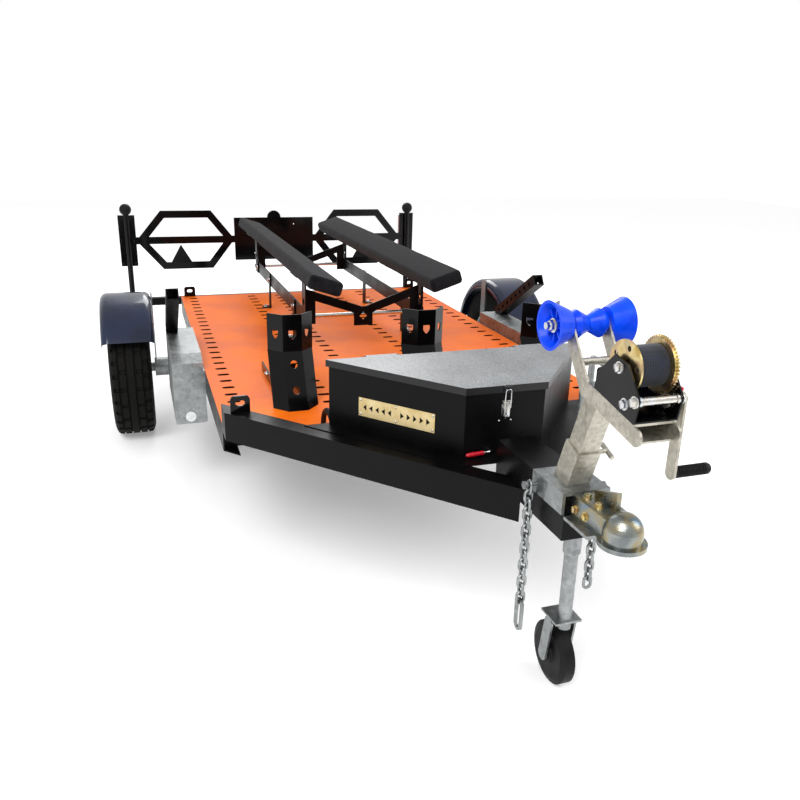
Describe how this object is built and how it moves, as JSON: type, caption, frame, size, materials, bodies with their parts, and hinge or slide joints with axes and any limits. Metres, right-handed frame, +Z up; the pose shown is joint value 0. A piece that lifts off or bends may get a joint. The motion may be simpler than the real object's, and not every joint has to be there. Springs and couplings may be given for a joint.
{
  "type": "hydraulic lift trailer",
  "caption": "Low-deck trailer with swinging lift arms, wheel chocks, carpeted bunks, a lockable toolbox, a hand winch with a bow roller, a jockey wheel and a hexagon light board.",
  "frame": {"origin": "middle of the bounding box on the ground", "axes": "+X to port, +Y to the rear, +Z up"},
  "size_m": [2.264, 4.475, 1.136],
  "materials": {
    "orange_paint": "gloss",
    "black_paint": "semi-gloss powder coat",
    "gloss_black": "gloss",
    "grey_speckle": "fine hammer texture",
    "galvanised": "dull zinc with a soft spangle",
    "bright_zinc": "bright zinc plate",
    "yellow_zinc": "yellow passivated zinc",
    "brass_plate": "satin",
    "blue_polyurethane": "satin",
    "carpet": "short pile",
    "webbing": "woven",
    "tyre_rubber": "matte",
    "black_rubber": "matte",
    "rim_silver": "satin",
    "red_lens": "prismatic gloss",
    "clear_lens": "prismatic gloss"
  },
  "bodies": {
    "chassis": {"deck_plate": "orange_paint", "side_rails": "black_paint", "cross_members": "black_paint", "drawbar_beams": "black_paint", "drawbar_nose": "black_paint", "nose_saddle": "galvanised", "toolbox_shell": "black_paint", "vent_plate": "brass_plate", "lid_latch": "bright_zinc", "side_boxes": "galvanised", "front_reflectors": "clear_lens", "lock_bars": "black_paint", "tie_down_plates": "gloss_black", "chock_uprights": "gloss_black", "chock_bases": "gloss_black", "bunk_side_plates": "black_paint", "bunk_cross_plates": "black_paint", "bunk_legs": "black_paint", "bunk_pads": "carpet", "stay_rod": "bright_zinc", "tail_frame": "black_paint", "light_board": "gloss_black", "tail_posts": "gloss_black", "tail_lamps": "red_lens", "marker_lamps": "black_rubber", "warning_triangles": "red_lens", "winch_post": "galvanised", "winch_arm": "galvanised", "winch_frame": "black_paint", "bow_shaft": "bright_zinc", "coupler_body": "yellow_zinc", "coupler_latch": "bright_zinc", "chain_starboard": "galvanised", "chain_port": "galvanised", "jockey_tube": "galvanised", "hose_loop": "black_rubber"},
    "lid": {"toolbox_lid": "grey_speckle"},
    "arm_starboard_body": {"arm_starboard": "galvanised", "mudguard_starboard": "gloss_black"},
    "arm_port_body": {"arm_port": "galvanised", "mudguard_port": "gloss_black"},
    "wheel_starboard": {"rim_starboard": "rim_silver", "tyre_starboard": "tyre_rubber"},
    "wheel_port": {"rim_port": "rim_silver", "tyre_port": "tyre_rubber"},
    "jockey_slider": {"jockey_leg": "bright_zinc"},
    "jockey_swivel": {"jockey_fork": "galvanised"},
    "jockey_roller": {"jockey_wheel": "black_rubber"},
    "spool": {"bow_spool": "blue_polyurethane"},
    "bell_starboard": {"bow_bell_starboard": "blue_polyurethane"},
    "bell_port": {"bow_bell_port": "blue_polyurethane"},
    "drum": {"winch_drum": "yellow_zinc", "winch_strap": "webbing"},
    "crank": {"winch_crank": "bright_zinc", "crank_grip": "black_rubber"},
    "tilt_starboard": {"cradle_starboard": "gloss_black"},
    "tilt_centre": {"cradle_centre": "gloss_black"},
    "tilt_port": {"cradle_port": "gloss_black"}
  },
  "joints": [
    {"name": "lift_starboard", "type": "hinge", "parent": "chassis", "child": "arm_starboard_body", "pos_m": [-0.786, -0.0225, 0.36], "axis": [1, 0, 0], "range_deg": [0, 30]},
    {"name": "spin_starboard", "type": "hinge", "parent": "arm_starboard_body", "child": "wheel_starboard", "pos_m": [-1.014, 0.5375, 0.325], "axis": [1, 0, 0], "continuous": true},
    {"name": "lift_port", "type": "hinge", "parent": "chassis", "child": "arm_port_body", "pos_m": [0.786, -0.0225, 0.36], "axis": [1, 0, 0], "range_deg": [0, 30]},
    {"name": "spin_port", "type": "hinge", "parent": "arm_port_body", "child": "wheel_port", "pos_m": [1.014, 0.5375, 0.325], "axis": [1, 0, 0], "continuous": true},
    {"name": "lid_hinge", "type": "hinge", "parent": "chassis", "child": "lid", "pos_m": [0, -1.19776, 0.809], "axis": [-1, 0, 0], "range_deg": [0, 75]},
    {"name": "jockey_wind", "type": "slide", "parent": "chassis", "child": "jockey_slider", "axis": [0, 0, 1], "range_m": [0, 0.18]},
    {"name": "jockey_turn", "type": "hinge", "parent": "jockey_slider", "child": "jockey_swivel", "pos_m": [0.091, -1.8335, 0.21], "axis": [0, 0, 1], "continuous": true},
    {"name": "jockey_spin", "type": "hinge", "parent": "jockey_swivel", "child": "jockey_roller", "pos_m": [0.091, -1.7995, 0.09], "axis": [1, 0, 0], "continuous": true},
    {"name": "spool_spin", "type": "hinge", "parent": "chassis", "child": "spool", "pos_m": [0, -1.9325, 1.08], "axis": [1, 0, 0], "continuous": true},
    {"name": "bell_starboard_spin", "type": "hinge", "parent": "chassis", "child": "bell_starboard", "pos_m": [0, -1.9325, 1.08], "axis": [1, 0, 0], "continuous": true},
    {"name": "bell_port_spin", "type": "hinge", "parent": "chassis", "child": "bell_port", "pos_m": [0, -1.9325, 1.08], "axis": [1, 0, 0], "continuous": true},
    {"name": "drum_spin", "type": "hinge", "parent": "chassis", "child": "drum", "pos_m": [0, -2.14775, 1.04364], "axis": [1, 0, 0], "continuous": true},
    {"name": "crank_spin", "type": "hinge", "parent": "chassis", "child": "crank", "pos_m": [0.083, -2.17907, 0.97704], "axis": [1, 0, 0], "continuous": true},
    {"name": "cradle_starboard_tip", "type": "hinge", "parent": "chassis", "child": "tilt_starboard", "pos_m": [-0.45, -0.5875, 0.571], "axis": [1, 0, 0], "range_deg": [0, 36]},
    {"name": "cradle_centre_tip", "type": "hinge", "parent": "chassis", "child": "tilt_centre", "pos_m": [0.04, -0.6175, 0.571], "axis": [1, 0, 0], "range_deg": [0, 36]},
    {"name": "cradle_port_tip", "type": "hinge", "parent": "chassis", "child": "tilt_port", "pos_m": [0.53, -0.6175, 0.571], "axis": [1, 0, 0], "range_deg": [0, 36]}
  ],
  "couplings": [
    {"joint": "crank_spin", "follows": "drum_spin", "ratio": -4}
  ]
}
